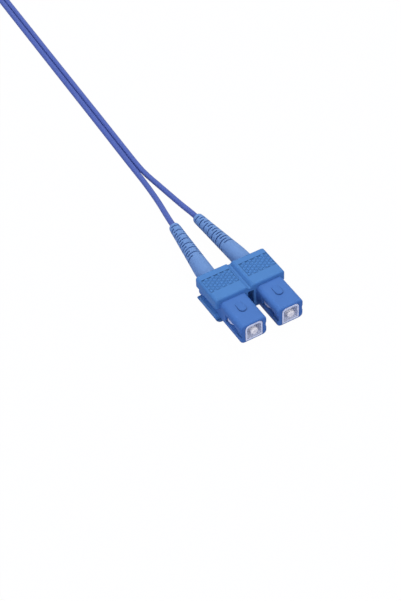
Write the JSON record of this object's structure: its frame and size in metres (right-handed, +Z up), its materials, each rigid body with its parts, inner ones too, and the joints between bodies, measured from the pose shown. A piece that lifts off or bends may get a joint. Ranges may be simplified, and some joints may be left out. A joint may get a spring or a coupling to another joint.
{
  "type": "duplex fibre optic connector with zip cord",
  "caption": "Blue duplex push-pull fibre connector: square plugs with white inner frames and ceramic ferrules in a knurled clip, slotted boots and a zip cord.",
  "frame": {"origin": "middle of the flat underside of the duplex clip, which lies on the surface", "axes": "+X across the pair towards the right plug, seen from behind with the key faces up; -Y the way the plugs point into their adapter, +Y along the boots and cords; +Z up through the key faces"},
  "size_m": [0.0619, 0.2608, 0.0099],
  "materials": {
    "housing_blue": "satin moulded plastic, mid blue",
    "clip_blue": "satin moulded plastic, lighter blue, knurled pads",
    "boot_blue": "smooth flexible plastic, lighter blue",
    "cord_jacket": "smooth cable jacket, violet blue",
    "frame_white": "glossy white moulded plastic",
    "ferrule_ceramic": "polished white zirconia ceramic",
    "plated_brass": "nickel-plated machined brass",
    "crimp_steel": "crimped steel tube",
    "spring_steel": "drawn spring wire",
    "buffer_white": "white fibre buffer"
  },
  "bodies": {
    "plug_core": {"plug_frame_left": "frame_white", "rear_body_left": "plated_brass", "crimp_sleeve_left": "crimp_steel", "boot_left": "boot_blue", "spring_left": "spring_steel", "cord_left": "cord_jacket", "plug_frame_right": "frame_white", "rear_body_right": "plated_brass", "crimp_sleeve_right": "crimp_steel", "boot_right": "boot_blue", "spring_right": "spring_steel", "cord_right": "cord_jacket", "cord_coil": "cord_jacket"},
    "grip": {"duplex_clip": "clip_blue", "outer_housing_left": "housing_blue", "outer_housing_right": "housing_blue"},
    "ferrule_train_left": {"ferrule_left": "ferrule_ceramic", "ferrule_flange_left": "plated_brass", "fibre_buffer_left": "buffer_white"},
    "ferrule_train_right": {"ferrule_right": "ferrule_ceramic", "ferrule_flange_right": "plated_brass", "fibre_buffer_right": "buffer_white"}
  },
  "joints": [
    {"name": "grip_slide", "type": "slide", "parent": "plug_core", "child": "grip", "axis": [0, 1, 0], "range_m": [0, 0.0016]},
    {"name": "ferrule_left_slide", "type": "slide", "parent": "plug_core", "child": "ferrule_train_left", "axis": [0, 1, 0], "range_m": [0, 0.0015], "stiffness_N_per_m": 1000, "deforming": ["spring_left"]},
    {"name": "ferrule_right_slide", "type": "slide", "parent": "plug_core", "child": "ferrule_train_right", "axis": [0, 1, 0], "range_m": [0, 0.0015], "stiffness_N_per_m": 1000, "deforming": ["spring_right"]}
  ]
}
